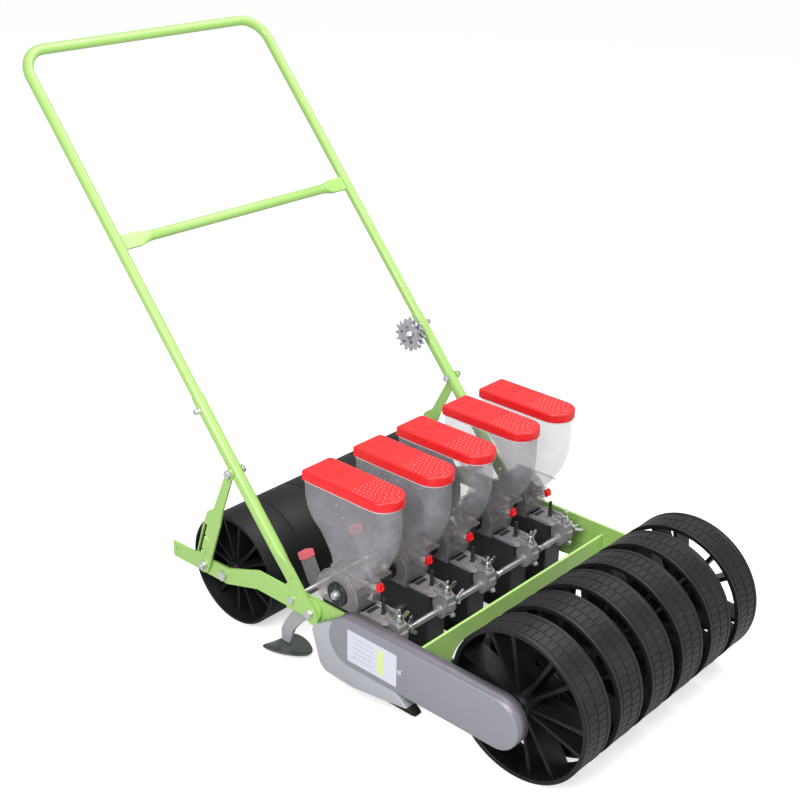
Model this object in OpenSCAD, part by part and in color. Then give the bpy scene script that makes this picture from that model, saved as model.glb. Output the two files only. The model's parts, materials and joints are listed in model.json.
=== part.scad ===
// Hand-pushed five-row precision seeder for small vegetable seed.
// +Z up, -Y is the direction of travel, -X is the chain side.
// The origin is on the ground, in the middle of the overall length and width.

/* [Rollers] */
// Radius of the ribbed front wheels
front_r = 130; // [120:1:140]
// Width of one front wheel's rim
front_w = 62; // [56:1:66]
// Distance from one front wheel to the next
front_pitch = 87; // [84:1:92]
// Radius of the smooth rear drums
rear_r = 105; // [98:1:112]
// Distance between the front and the rear axle
wheelbase = 640; // [630:1:650]

/* [Frame] */
// Distance from the centre plane to the inner face of a side plate
plate_x = 268.5; // [268:0.5:275]
// Thickness of side plates and rear arms
plate_t = 5; // [4:0.5:6]
// Height of the side plates' straight bar
plate_h = 48; // [44:1:52]
// Width of the flat rear arms in front of their kink
arm_w = 38; // [36:1:42]

/* [Handle] */
// Angle of the handle above the ground
handle_angle = 49.4; // [46:0.1:54]
// Distance along the handle from the foot bolt to the grip bar
handle_len = 1102; // [1000:1:1150]
// Radius of the lower handle tubes
lower_r = 11; // [10.5:0.5:11.5]
// Radius of the telescoping upper tube
upper_r = 9.5; // [9:0.25:9.5]
// Radius of the bends at the grip
bend_r = 50; // [40:1:70]

/* [Seed units] */
// Sideways places of the five seed units
unit_x = [-238, -118, -10, 112, 216];
// Width of a lid
lid_w = 70; // [66:1:72]
// Height of the lids' top above the ground
lid_top = 386; // [380:1:392]

/* [Hidden] */
$fn = 64;

// Colours
lime = "#9ad45c";
steel = "#b9bcc4";
black = "#26262a";
red = "#e8262c";
clear_plastic = "#c9d2dc";
grey_paint = "#a4a7b0";
cast_grey = "#8f8d92";
side_left = -1;
side_right = 1;

// Side view places are given from the front axle: [rearward, up]
grip_place = [414 + handle_len * cos(handle_angle), 127 + handle_len * sin(handle_angle)];
front_axle_y = -(grip_place[0] + upper_r - front_r) / 2;
front_axle = [0, front_r];
rear_axle_place = [wheelbase, rear_r];
foot_bolt = [414, 127];
arm_bolt = [463, 131];
brace_foot = [688, 109];
shaft_place = [335, 108];
clamp_rod_place = [258, 133];
cover_screw = [190, 129];

// Shafts and their holes
fit = 0.05;
front_axle_r = 10;
rear_axle_r = 8;
shaft_r = 6;
clamp_rod_r = 5.5;
tie_rod_r = 6;
bolt_r = 4;
bolt_head_r = 7.5;

// Handle, measured along the tube from the foot bolt
foot_x = 279;
foot_t = 4.5;
tube_x = foot_x + foot_t / 2;
brace_bolt_at = 272;
spare_at = 381;
joint_at = 417;
upper_from = 330;
crossbar_at = 716;
foot_hole_at = 66;
foot_hole_r = 3;
hitch_hole_r = 3.25;
hitch_hole = [771, rear_r];

// Brace between the handle and the rear arm, leaning out from the arm's face to clear the tube
brace_in = 280.8;
brace_out = 293.3;
brace_t = 4;
brace_hole_r = 4.45;
brace_top = foot_bolt + brace_bolt_at * [cos(handle_angle), sin(handle_angle)];
brace_rise = brace_top[1] - brace_foot[1];
brace_tilt = atan2(brace_out - brace_in, brace_rise);
brace_vec = [brace_top[0] - brace_foot[0], brace_rise / cos(brace_tilt)];
brace_len = norm(brace_vec);
brace_angle = atan2(brace_vec[1], brace_vec[0]);
outer_x = 305;

// Chain drive
cover_x = 303.5;
cover_depth = 27;
cover_step = 7.5;
cover_r = 44;
cover_rear = [305, front_r];
cover_wall = 1.5;
chain_x = 288;
chain_pitch = 12.7;
drive_teeth = 13;
driven_teeth = 10;

// Gear pair inside each seed unit
shaft_gear_teeth = 28;
roller_gear_teeth = 22;
gear_t = 7;
gear_dx = 15;
mesh_gap = 0.25;
roller_place = [364.6, 180];
gear_line = roller_place - shaft_place;
mesh_angle = atan2(gear_line[1], gear_line[0]);
gear_module = 2 * (norm(gear_line) - mesh_gap) / (shaft_gear_teeth + roller_gear_teeth);

// Seed unit
unit_half = 28;
housing_r = 45;
housing_wall = 2.5;
cap_r = 21.5;
spout_angle = 14;
spout_size = 19;
spout_end = 68;
knob_size = 13;
knob_t = 8;
brush_stem_r = 6;
opener_half = 23;
chute_half = 9.5;
opener_top = 157;
deck_t = 4;
blade_top = 14;
lid_rear = 442;
lid_front = 254;
lid_h = 16;
lid_wall = 2.2;
rim_top = lid_top - 3.5;
hinge_pin_r = 1.5;
hinge_place = [lid_rear + 3, lid_top - lid_h + 3];
hopper_wall = 2.2;
hopper_half = lid_w / 2 - lid_wall - 1;
neck_half = 24.5;
neck_z = 230;

function polar(r, a) = [r * cos(a), r * sin(a)];
function sprocket_r(teeth) = chain_pitch / (2 * sin(180 / teeth));

// ---- General helpers ----

// Moves a piece drawn from the front axle to its place on the whole machine
module from_axle() {
    translate([0, front_axle_y, 0]) children();
}

// Turns a side-view outline into a plate between two sideways places
module plate_between(x0, x1) {
    translate([min(x0, x1), 0, 0]) rotate([90, 0, 90]) linear_extrude(abs(x1 - x0)) children();
}

// A round bar across the machine at a side-view place
module cross_rod(r, x0, x1, place) {
    translate([min(x0, x1), place[0], place[1]]) rotate([0, 90, 0]) cylinder(r = r, h = abs(x1 - x0));
}

// A hexagon head or nut across the machine
module cross_hex(x0, x1, place, r = bolt_head_r) {
    translate([min(x0, x1), place[0], place[1]]) rotate([0, 90, 0]) cylinder(r = r, h = abs(x1 - x0), $fn = 6);
}

// A flat strip with round ends from a to b in the side view
module strip(a, b, w) {
    d = b - a;
    translate(a) rotate(atan2(d[1], d[0])) translate([0, -w / 2]) square([norm(d), w]);
    translate(a) circle(w / 2);
    translate(b) circle(w / 2);
}

// Teeth with straight flanks round a wheel
module toothed_outline(teeth, root_r, tip_r, root_part, tip_part) {
    step = 360 / teeth;
    polygon([for (i = [0 : teeth - 1])
        for (p = [[root_r, -root_part], [tip_r, -tip_part], [tip_r, tip_part], [root_r, root_part]])
            polar(p[0], i * step + p[1] * step / 2)]);
}

module sprocket_outline(teeth) {
    r = sprocket_r(teeth);
    toothed_outline(teeth, r - 3.6, r + 4.4, 0.62, 0.2);
}

module gear_outline(teeth, root_part = 0.66) {
    r = gear_module * teeth / 2;
    toothed_outline(teeth, r - 1.15 * gear_module, r + 0.88 * gear_module, root_part, 0.24);
}

// The handle's own frame: x sideways, z along the tubes from the foot bolt
module on_handle() {
    from_axle() translate([0, foot_bolt[0], foot_bolt[1]]) rotate([handle_angle - 90, 0, 0]) children();
}

// ---- Frame ----

module side_plate_outline() {
    low = front_r - plate_h / 2;
    high = front_r + plate_h / 2;
    difference() {
        union() {
            strip(front_axle, [40, front_r], plate_h);
            polygon([[0, low], [150, low], [184, 70], [292, 62], [372, 70], [398, low],
                [482, low], [482, high], [0, high]]);
        }
        translate(front_axle) circle(front_axle_r + fit);
        translate(shaft_place) circle(shaft_r + fit);
        translate(foot_bolt) circle(bolt_r);
        translate(arm_bolt) circle(bolt_r);
        translate(clamp_rod_place) circle(clamp_rod_r);
    }
}

module side_plate(side) {
    color(lime) from_axle() plate_between(side * plate_x, side * (plate_x + plate_t)) side_plate_outline();
}

module side_plate_left() { side_plate(side_left); }
module side_plate_right() { side_plate(side_right); }

// Upright flat bar between the side plates; its ends flare down into gussets
module front_cross_bar() {
    bar_y = 200;
    bar_top = 136;
    bar_h = 26;
    flare_h = 72;
    flare_r = 46;
    color(lime) from_axle() translate([0, bar_y + plate_t, 0]) rotate([90, 0, 0]) linear_extrude(plate_t)
        difference() {
            translate([-plate_x, bar_top - flare_h]) square([2 * plate_x, flare_h]);
            translate([-plate_x + 16 + flare_r, bar_top - flare_h - 1])
                square([2 * (plate_x - 16 - flare_r), flare_h - bar_h + 1]);
            for (side = [-1, 1]) {
                translate([side * (plate_x - 16 - flare_r), bar_top - bar_h - flare_r]) circle(flare_r);
            }
        }
}

module rear_tie_rod() {
    color(steel) from_axle() cross_rod(tie_rod_r, -plate_x, plate_x, arm_bolt);
}

module clamp_rod() {
    color(steel) from_axle() cross_rod(clamp_rod_r, -(plate_x + plate_t), plate_x + plate_t, clamp_rod_place);
}

// Kinked flat bar that carries the rear roller
module rear_arm_outline() {
    front_z = 133;
    half = arm_w / 2;
    rear_half = half - 3;
    difference() {
        union() {
            translate([412, front_z]) circle(half);
            polygon([[412, front_z - half], [551, front_z - half], [631, rear_r - rear_half + 1],
                [781, rear_r - rear_half - 1], [781, rear_r + rear_half - 2], [628, rear_r + rear_half + 2],
                [547, front_z + half], [412, front_z + half]]);
        }
        translate(foot_bolt) circle(bolt_r);
        translate(arm_bolt) circle(bolt_r);
        translate(rear_axle_place) circle(rear_axle_r + fit);
        translate(brace_foot) circle(bolt_r);
        translate(hitch_hole) circle(hitch_hole_r);
    }
}

module rear_arm(side) {
    x0 = plate_x + plate_t;
    color(lime) from_axle() plate_between(side * x0, side * (x0 + plate_t)) rear_arm_outline();
}

module rear_arm_left() { rear_arm(side_left); }
module rear_arm_right() { rear_arm(side_right); }

// Flanged bushes of the front axle and the drive shaft, on the inside of the plates
module axle_bushes() {
    color(steel) from_axle() for (side = [-1, 1]) {
        difference() {
            cross_rod(18, side * (plate_x - 6), side * plate_x, front_axle);
            cross_rod(front_axle_r + fit, side * (plate_x - 7), side * (plate_x + 1), front_axle);
        }
        difference() {
            cross_rod(13, side * (plate_x - 5), side * plate_x, shaft_place);
            cross_rod(shaft_r + fit, side * (plate_x - 6), side * (plate_x + 1), shaft_place);
        }
    }
}

// Foot bolts, arm bolts, nuts and the screw of the chain cover
module frame_bolts() {
    arm_face = plate_x + 2 * plate_t;
    foot_face = foot_x + foot_t;
    color(steel) from_axle() for (side = [-1, 1]) {
        cross_rod(bolt_r, side * (plate_x - 7), side * (foot_face + 1), foot_bolt);
        cross_rod(8.5, side * (foot_face + 0.3), side * (foot_face + 1.9), foot_bolt);
        cross_hex(side * (foot_face + 1.9), side * (foot_face + 7), foot_bolt);
        cross_hex(side * (plate_x - 6), side * plate_x, foot_bolt);
        cross_rod(bolt_r, side * plate_x, side * (arm_face + 1), arm_bolt);
        cross_hex(side * arm_face, side * (arm_face + 5.5), arm_bolt);
    }
    color(steel) from_axle() {
        cross_rod(2.5, -outer_x, -plate_x - plate_t, cover_screw);
        cross_rod(5.5, -cover_x + cover_wall, -plate_x - plate_t, cover_screw);
        cross_rod(5, -outer_x, -cover_x, cover_screw);
    }
}

// ---- Chain drive ----

// Side views of the chain cover's raised case and of the skirt behind it, drawn smaller by inset
module cover_case(inset) {
    strip(front_axle, cover_rear, 2 * (cover_r - inset));
}

module cover_skirt(inset) {
    polygon([[222 + inset, 92], [180 + 2 * inset, 58 + inset], [299, 40 + inset], [367 - inset, 42 + inset],
        [379 - inset, 53 + inset], [397 - inset, 112], [389 - inset, 123 - inset], [355 - inset, 144 - inset],
        [330 - inset, 152], [222 + inset, 112]]);
}

module chain_cover() {
    back = cover_x - cover_depth;
    color(grey_paint) from_axle() difference() {
        union() {
            plate_between(-cover_x, -back) cover_case(0);
            plate_between(-cover_x + cover_step, -back) cover_skirt(0);
        }
        plate_between(-cover_x + cover_wall, -back + 1) cover_case(cover_wall);
        plate_between(-cover_x + cover_step + cover_wall, -back + 1) cover_skirt(cover_wall);
        cross_rod(2.5, -cover_x - 1, -cover_x + cover_wall + 1, cover_screw);
    }
}

// Roller chain: two rows of link plates, joined by pins on its straight runs
module chain_loop(offset) {
    r1 = sprocket_r(drive_teeth) + offset;
    r2 = sprocket_r(driven_teeth) + offset;
    d = shaft_place - front_axle;
    lean = atan2(d[1], d[0]);
    open = acos((r1 - r2) / norm(d));
    translate(front_axle) circle(r1);
    translate(shaft_place) circle(r2);
    // the straight runs start a little inside the circles, so nothing is exactly tangent
    in1 = r1 - 0.15;
    in2 = r2 - 0.15;
    polygon([front_axle + polar(in1, lean + open), shaft_place + polar(in2, lean + open),
        shaft_place + polar(in2, lean - open), front_axle + polar(in1, lean - open)]);
}

module drive_chain() {
    link_h = 9;
    r1 = sprocket_r(drive_teeth);
    r2 = sprocket_r(driven_teeth);
    d = shaft_place - front_axle;
    lean = atan2(d[1], d[0]);
    open = acos((r1 - r2) / norm(d));
    pins = 26;
    color("#55565c") from_axle() {
        for (x = [-chain_x - 4.6, -chain_x + 3.4]) {
            plate_between(x, x + 1.2) difference() {
                chain_loop(link_h / 2);
                chain_loop(-link_h / 2);
            }
        }
        for (turn = [-1, 1], i = [2 : pins - 3]) {
            a = front_axle + polar(r1, lean + turn * open);
            b = shaft_place + polar(r2, lean + turn * open);
            cross_rod(3, -chain_x - 3.4, -chain_x + 3.4, a + (b - a) * (i + 0.5) / pins);
        }
    }
}

module sprocket_on_shaft(teeth, place, bore) {
    from_axle() {
        plate_between(-chain_x - 2.4, -chain_x + 2.4) difference() {
            translate(place) sprocket_outline(teeth);
            translate(place) circle(bore);
        }
        difference() {
            cross_rod(bore + 6, -chain_x + 2.4, -chain_x + 11, place);
            cross_rod(bore, -chain_x + 2, -chain_x + 12, place);
        }
    }
}

module drive_sprocket() { color("#6c6d74") sprocket_on_shaft(drive_teeth, front_axle, front_axle_r); }
module driven_sprocket() { color("#6c6d74") sprocket_on_shaft(driven_teeth, shaft_place, shaft_r); }

// ---- Front roller ----

module front_axle() {
    end_l = chain_x + 8;
    color(steel) from_axle() {
        cross_rod(front_axle_r, -end_l, plate_x + plate_t + 2, front_axle);
        cross_hex(plate_x + plate_t + 2, plate_x + plate_t + 10, front_axle, 14);
    }
}

// One wheel: deep rim, hub and twelve spokes set in narrow pairs
module front_wheel() {
    rim_t = 7;
    lip_t = 12;
    lip_w = 5;
    hub_r = 22;
    spoke_w = 44;
    spoke_t = 5;
    rotate([0, 90, 0]) {
        difference() {
            translate([0, 0, -front_w / 2]) cylinder(r = front_r, h = front_w);
            translate([0, 0, -front_w / 2 + lip_w]) cylinder(r = front_r - rim_t, h = front_w - 2 * lip_w);
            translate([0, 0, -front_w / 2 - 1]) cylinder(r = front_r - lip_t, h = front_w + 2);
        }
        translate([0, 0, -spoke_w / 2]) linear_extrude(spoke_w) difference() {
            union() {
                circle(hub_r);
                for (i = [0 : 5], lean = [-1, 1]) {
                    rotate(i * 60 + lean * 11) translate([hub_r - 3, -spoke_t / 2 + lean * 2])
                        square([front_r - rim_t - hub_r + 4, spoke_t]);
                }
            }
            circle(front_axle_r);
        }
        difference() {
            translate([0, 0, -front_pitch / 2 + 0.25]) cylinder(r = hub_r - 4, h = front_pitch - 0.5);
            translate([0, 0, -front_pitch / 2]) cylinder(r = front_axle_r, h = front_pitch);
        }
    }
}

module front_wheels() {
    color(black) from_axle() for (i = [0 : 5]) {
        translate([(i - 2.5) * front_pitch, front_axle[0], front_axle[1]]) rotate([i * 10, 0, 0]) front_wheel();
    }
}

// ---- Rear roller ----

module rear_axle() {
    arm_face = plate_x + 2 * plate_t;
    color(steel) from_axle() {
        cross_rod(rear_axle_r, -arm_face - 2, arm_face + 2, rear_axle_place);
        for (side = [-1, 1]) {
            cross_hex(side * (arm_face + 1), side * (arm_face + 7), rear_axle_place, 10);
        }
    }
}

module rear_drum() {
    drum_w = 85.6;
    shell_t = 5;
    web_t = 6;
    hub_r = 20;
    rotate([0, 90, 0]) {
        difference() {
            translate([0, 0, -drum_w / 2]) cylinder(r = rear_r, h = drum_w);
            translate([0, 0, -drum_w / 2 - 1]) cylinder(r = rear_r - shell_t, h = drum_w + 2);
        }
        difference() {
            union() {
                translate([0, 0, -web_t / 2]) cylinder(r = rear_r - shell_t + 1, h = web_t);
                translate([0, 0, -drum_w / 2]) cylinder(r = hub_r, h = drum_w);
                for (i = [0 : 5]) {
                    rotate(i * 60) translate([hub_r - 2, -2.5, -drum_w / 2 + 8])
                        cube([rear_r - shell_t - hub_r + 3, 5, drum_w - 16]);
                }
            }
            translate([0, 0, -drum_w / 2 - 1]) cylinder(r = rear_axle_r, h = drum_w + 2);
        }
    }
}

module rear_drums() {
    drum_pitch = 86;
    color(black) from_axle() for (i = [0 : 5]) {
        translate([(i - 2.5) * drum_pitch, rear_axle_place[0], rear_axle_place[1]]) rear_drum();
    }
}

// ---- Drive shaft and its gears ----

module drive_shaft() {
    color(steel) from_axle() cross_rod(shaft_r, -chain_x - 6, plate_x + plate_t + 6, shaft_place);
}

module shaft_gears() {
    hub_r = 12;
    color("#d9d6c8") from_axle() for (x = unit_x) {
        plate_between(x + gear_dx - gear_t / 2, x + gear_dx + gear_t / 2) translate(shaft_place) difference() {
            rotate(mesh_angle) gear_outline(shaft_gear_teeth);
            circle(shaft_r);
        }
        plate_between(x - 17, x + gear_dx - gear_t / 2) translate(shaft_place) difference() {
            circle(hub_r);
            circle(shaft_r);
        }
    }
}

// ---- Seed units ----

// Black opener: a box round the gears on top of a double-walled furrow shoe
module opener() {
    wall = 3;
    difference() {
        union() {
            plate_between(-opener_half, opener_half)
                polygon([[275, opener_top], [275, 44], [396, 44], [404, 70], [404, opener_top]]);
            plate_between(-8, 8) polygon([[268, 46], [216, 30], [178, 5], [186, 2], [372, 2], [384, 46]]);
        }
        plate_between(-opener_half + wall, opener_half - wall)
            polygon([[278, opener_top + 1], [278, 44.5], [394, 44.5], [401, 70], [401, opener_top + 1]]);
        plate_between(-4.5, 4.5) polygon([[300, 60], [262, 1], [392, 1], [376, 60]]);
        cross_rod(shaft_r + 1.5, -opener_half - 1, opener_half + 1, shaft_place);
    }
}

module openers() {
    color(black) from_axle() for (x = unit_x) translate([x, 0, 0]) opener();
}

// Clear metering housing: round case on a base flange, brush spout and emptying chute
module housing_case() {
    inner_half = unit_half - housing_wall;
    base = opener_top;
    base_t = 3;
    window_half = opener_half - 3;
    difference() {
        union() {
            intersection() {
                cross_rod(housing_r, -unit_half, unit_half, roller_place);
                translate([-unit_half, 300, base]) cube([2 * unit_half, 150, 100]);
            }
            translate([-unit_half, 318, base]) cube([2 * unit_half, 88, base_t]);
            plate_between(-neck_half, neck_half)
                polygon([[328, 196], [316, 207], [295, neck_z], [381, neck_z], [391, 216], [396, 200]]);
            on_spout() translate([-spout_size / 2, -spout_end, -spout_size / 2])
                cube([spout_size, 34, spout_size]);
            plate_between(-chute_half, chute_half) polygon([[395, 162], [446, 150], [454, 156], [475, 199],
                [460, 206], [440, 168], [404, 184]]);
        }
        intersection() {
            cross_rod(housing_r - housing_wall, -inner_half, inner_half, roller_place);
            translate([-unit_half, 300, base + base_t]) cube([2 * unit_half, 150, 100]);
        }
        translate([-window_half, 326, base - 1]) cube([2 * window_half, 75, base_t + 2]);
        cross_rod(cap_r + 0.6, -unit_half - 1, 0, roller_place);
        cross_rod(5 + fit, 0, unit_half + 1, roller_place);
        plate_between(-neck_half + housing_wall, neck_half - housing_wall)
            polygon([[332, 196], [318, 209], [298, neck_z + 1], [378, neck_z + 1], [388, 216], [392, 200]]);
        on_spout() translate([0, -spout_end - 1, 0]) rotate([-90, 0, 0]) cylinder(r = brush_stem_r + fit, h = 36);
        plate_between(-chute_half + housing_wall, chute_half - housing_wall)
            polygon([[402, 168], [444, 153], [451, 157], [474, 204], [463, 209], [441.5, 164], [406, 180]]);
    }
}

// The brush spout's frame: -Y along the spout, away from the roller
module on_spout() {
    translate([0, roller_place[0], roller_place[1] + 12]) rotate([-spout_angle, 0, 0]) children();
}

module housing(i) {
    color(clear_plastic, 0.5) from_axle() translate([unit_x[i], 0, 0]) housing_case();
}

module housing_1() { housing(0); }
module housing_2() { housing(1); }
module housing_3() { housing(2); }
module housing_4() { housing(3); }
module housing_5() { housing(4); }

// Seed roller: cell drum, gear behind it and a cone knob in front
module seed_roller(i) {
    drum_r = 30;
    color("#3a3b3f") from_axle() translate([unit_x[i], 0, 0]) {
        cross_rod(drum_r, -19, gear_dx - gear_t / 2 - 1, roller_place);
        cross_rod(cap_r, -unit_half - 1, -19, roller_place);
        plate_between(gear_dx - gear_t / 2 - 1, gear_dx + gear_t / 2 - 1) translate(roller_place)
            rotate(mesh_angle + 180 + 180 / roller_gear_teeth) gear_outline(roller_gear_teeth);
        cross_rod(5, gear_dx + gear_t / 2 - 1, unit_half + 3, roller_place);
        translate([-unit_half - 1, roller_place[0], roller_place[1]]) rotate([0, -90, 0])
            cylinder(r1 = 12, r2 = 6, h = 10);
    }
}

module seed_roller_1() { seed_roller(0); }
module seed_roller_2() { seed_roller(1); }
module seed_roller_3() { seed_roller(2); }
module seed_roller_4() { seed_roller(3); }
module seed_roller_5() { seed_roller(4); }

// Square red knob in front of the spout, on a round stem
module brush_knob(i) {
    color(red) from_axle() translate([unit_x[i], 0, 0]) on_spout() {
        translate([-knob_size / 2, -spout_end - 0.4 - knob_t, -knob_size / 2])
            cube([knob_size, knob_t, knob_size]);
        translate([0, -spout_end - 1, 0]) rotate([-90, 0, 0]) cylinder(r = brush_stem_r, h = 30);
    }
}

module brush_knob_1() { brush_knob(0); }
module brush_knob_2() { brush_knob(1); }
module brush_knob_3() { brush_knob(2); }
module brush_knob_4() { brush_knob(3); }
module brush_knob_5() { brush_knob(4); }

// Caps on the slanted ends of the emptying chutes
module chute_caps() {
    color("#d9525c") from_axle() for (x = unit_x) {
        plate_between(x - chute_half - 1, x + chute_half + 1)
            polygon([[460, 206.6], [475.2, 199.5], [478.6, 206.8], [463.4, 213.9]]);
    }
}

// Cast deck and rod clamp of each unit
module rod_clamp() {
    deck_low = opener_top;
    difference() {
        union() {
            plate_between(-opener_half, opener_half)
                polygon([[266, deck_low], [316, deck_low], [316, deck_low + deck_t], [266, deck_low + deck_t]]);
            plate_between(-2, 2) polygon([[268, 160], [316, 160], [312, 178], [286, 194], [274, 188]]);
            plate_between(-13, 13) polygon([[246, 120], [262, 118], [273, 130], [273, 157], [276, 157],
                [276, 163], [244, 163], [240, 146]]);
            cross_rod(12, -15, 15, clamp_rod_place);
            translate([0, 250, 160]) cylinder(r = 7, h = 8);
            translate([-3, 262, 161]) cube([6, 14, 3]);
        }
        cross_rod(clamp_rod_r, -20, 20, clamp_rod_place);
    }
}

module rod_clamps() {
    color(cast_grey) from_axle() for (x = unit_x) translate([x, 0, 0]) rod_clamp();
}

// A wing nut on its stud, standing along +Z
module wing_nut() {
    cylinder(r = 3, h = 20);
    cylinder(r1 = 7, r2 = 5, h = 7);
    for (turn = [0, 180]) {
        rotate(turn) translate([9, 1.5, 9]) rotate([90, 0, 0]) cylinder(r = 6, h = 3);
    }
    translate([-9, -1.5, 3]) cube([18, 3, 6]);
}

module wing_nuts() {
    color(steel) from_axle() for (x = unit_x) {
        translate([x, 250, 168]) wing_nut();
        translate([x + 15, 246, 146]) rotate([0, 90, 0]) wing_nut();
    }
}

// Outline of the top of a hopper: square rear with clipped corners, round front
module hopper_outline(half, front, rear) {
    clip = 4;
    difference() {
        union() {
            translate([0, front + half]) circle(half);
            translate([-half, front + half]) square([2 * half, rear - front - half]);
        }
        for (side = [-1, 1]) {
            translate([side * half, rear]) rotate(45) square(clip * sqrt(2), center = true);
        }
    }
}

// Side view of a hopper, drawn smaller by d for its hollow: full above, drawn in like a bag below
function hopper_side(d) = [
    [lid_front + 3.5 + d, rim_top + 1 + 4 * d], [256 + d, 330], [259 + d, 300], [267 + d, 273],
    [280 + d, 249], [295 + 1.2 * d, neck_z - 2 * d], [381 - 1.2 * d, neck_z - 2 * d], [385 - d, 245],
    [398 - d, 272], [408 - d, 287], [424 - d, 301], [434 - d, 320], [lid_rear - 3.5 - d, 345],
    [lid_rear - 3.5 - d, rim_top + 1 + 4 * d]];

// Clear hopper with its hinge knuckle at the rear of the rim
module hopper(i) {
    wall = hopper_wall;
    color(clear_plastic, 0.4) from_axle() translate([unit_x[i], 0, 0]) difference() {
        union() {
            difference() {
                intersection() {
                    plate_between(-hopper_half, hopper_half) polygon(hopper_side(0));
                    hopper_body(hopper_half, neck_half, 0);
                }
                intersection() {
                    plate_between(-hopper_half, hopper_half) polygon(hopper_side(wall));
                    hopper_body(hopper_half - wall, neck_half - wall, wall);
                }
            }
            translate([-7, lid_rear - 5.7, hinge_place[1] - 3.2]) cube([14, 6, 6.4]);
            cross_rod(3.2, -7, 7, hinge_place);
        }
        cross_rod(hinge_pin_r + fit, -8, 8, hinge_place);
    }
}

// Front view and top view of the hopper, used to trim its side view
module hopper_body(top_half, low_half, wall) {
    right = [[low_half, neck_z - wall], [low_half, 236], [top_half - 2.5, 280], [top_half, 320],
        [top_half, rim_top + wall]];
    left = [for (i = [len(right) - 1 : -1 : 0]) [-right[i][0], right[i][1]]];
    intersection() {
        translate([0, 500, 0]) rotate([90, 0, 0]) linear_extrude(300) polygon(concat(right, left));
        translate([0, 0, neck_z - wall]) linear_extrude(rim_top - neck_z + 2 * wall)
            hopper_outline(top_half, lid_front + 3.5 + wall, lid_rear - 3.5 - wall);
    }
}

module hopper_1() { hopper(0); }
module hopper_2() { hopper(1); }
module hopper_3() { hopper(2); }
module hopper_4() { hopper(3); }
module hopper_5() { hopper(4); }

// Lid: shallow cap over the hopper's rim, hinged at its rear
module lid(i) {
    low = lid_top - lid_h;
    half = lid_w / 2;
    color(red) from_axle() translate([unit_x[i], 0, 0]) {
        difference() {
            translate([0, 0, low]) linear_extrude(lid_h) hopper_outline(half, lid_front, lid_rear);
            translate([0, 0, low - 1]) linear_extrude(lid_h - 1.5)
                hopper_outline(half - lid_wall, lid_front + lid_wall, lid_rear - lid_wall);
            translate([-8, lid_rear - lid_wall - 1, low - 1]) cube([16, lid_wall + 2, 8]);
        }
        for (side = [-1, 1]) {
            cross_rod(3.2, side * 8, side * 13, hinge_place);
            plate_between(side * 8, side * 13)
                polygon([[lid_rear - 1, low], [lid_rear + 3, low], [lid_rear + 3, low + 6],
                    [lid_rear - 1, low + 9]]);
        }
        cross_rod(hinge_pin_r, -8.5, 8.5, hinge_place);
    }
}

module lid_1() { lid(0); }
module lid_2() { lid(1); }
module lid_3() { lid(2); }
module lid_4() { lid(3); }
module lid_5() { lid(4); }

// ---- Soil coverer behind the chain-side unit ----

module coverer_bracket() {
    color(cast_grey) from_axle() translate([unit_x[0], 0, 0]) {
        translate([-20, 404, 88]) cube([28, 3, 30]);
        plate_between(-17, -10) polygon([[406, 90], [440, 90], [460, 78], [474, 62], [486, 46], [497, blade_top],
            [517, blade_top], [517, 38], [506, 60], [493, 79], [475, 98], [450, 112], [406, 116]]);
    }
}

// Leaf-shaped blade that draws soil over the seed, with its tip outward and to the rear
module coverer_blade() {
    blade_t = 4;
    color(black) from_axle() translate([unit_x[0], 0, blade_top - blade_t]) linear_extrude(blade_t)
        polygon([[-55, 531], [-53, 509], [-47, 490], [-39, 474], [-29, 459], [-17, 449], [-6, 449], [4, 459],
            [12, 476], [16, 495], [14, 512], [4, 519], [-30, 523]]);
}

// ---- Handle ----

// Flat foot, flattened neck and round lower tube
module lower_tube(side) {
    foot_w = 28;
    flat_to = 82;
    round_from = 118;
    color(lime) on_handle() difference() {
        union() {
            translate([side * tube_x - foot_t / 2, -foot_w / 2, -8]) cube([foot_t, foot_w, flat_to + 8]);
            translate([side * tube_x - foot_t / 2, 0, -8]) rotate([0, 90, 0]) cylinder(r = foot_w / 2, h = foot_t);
            hull() {
                translate([side * tube_x - foot_t / 2, -foot_w / 2, flat_to - 1]) cube([foot_t, foot_w, 1]);
                translate([side * tube_x, 0, round_from]) cylinder(r = lower_r, h = 1, $fn = 32);
            }
            translate([side * tube_x, 0, round_from]) cylinder(r = lower_r, h = joint_at - round_from);
        }
        translate([side * tube_x, 0, round_from + 8]) cylinder(r = upper_r + fit, h = joint_at);
        translate([side * tube_x - 20, 0, 0]) rotate([0, 90, 0]) cylinder(r = bolt_r + fit, h = 40);
        translate([side * tube_x - 20, 0, foot_hole_at]) rotate([0, 90, 0]) cylinder(r = foot_hole_r, h = 40);
        translate([side * tube_x - 20, 0, brace_bolt_at]) rotate([0, 90, 0]) cylinder(r = bolt_r, h = 40);
        translate([side * (tube_x + 10) - 10, 0, joint_at - 25]) rotate([0, 90, 0]) cylinder(r = 3, h = 20);
    }
}

module lower_tube_left() { lower_tube(side_left); }
module lower_tube_right() { lower_tube(side_right); }

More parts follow.
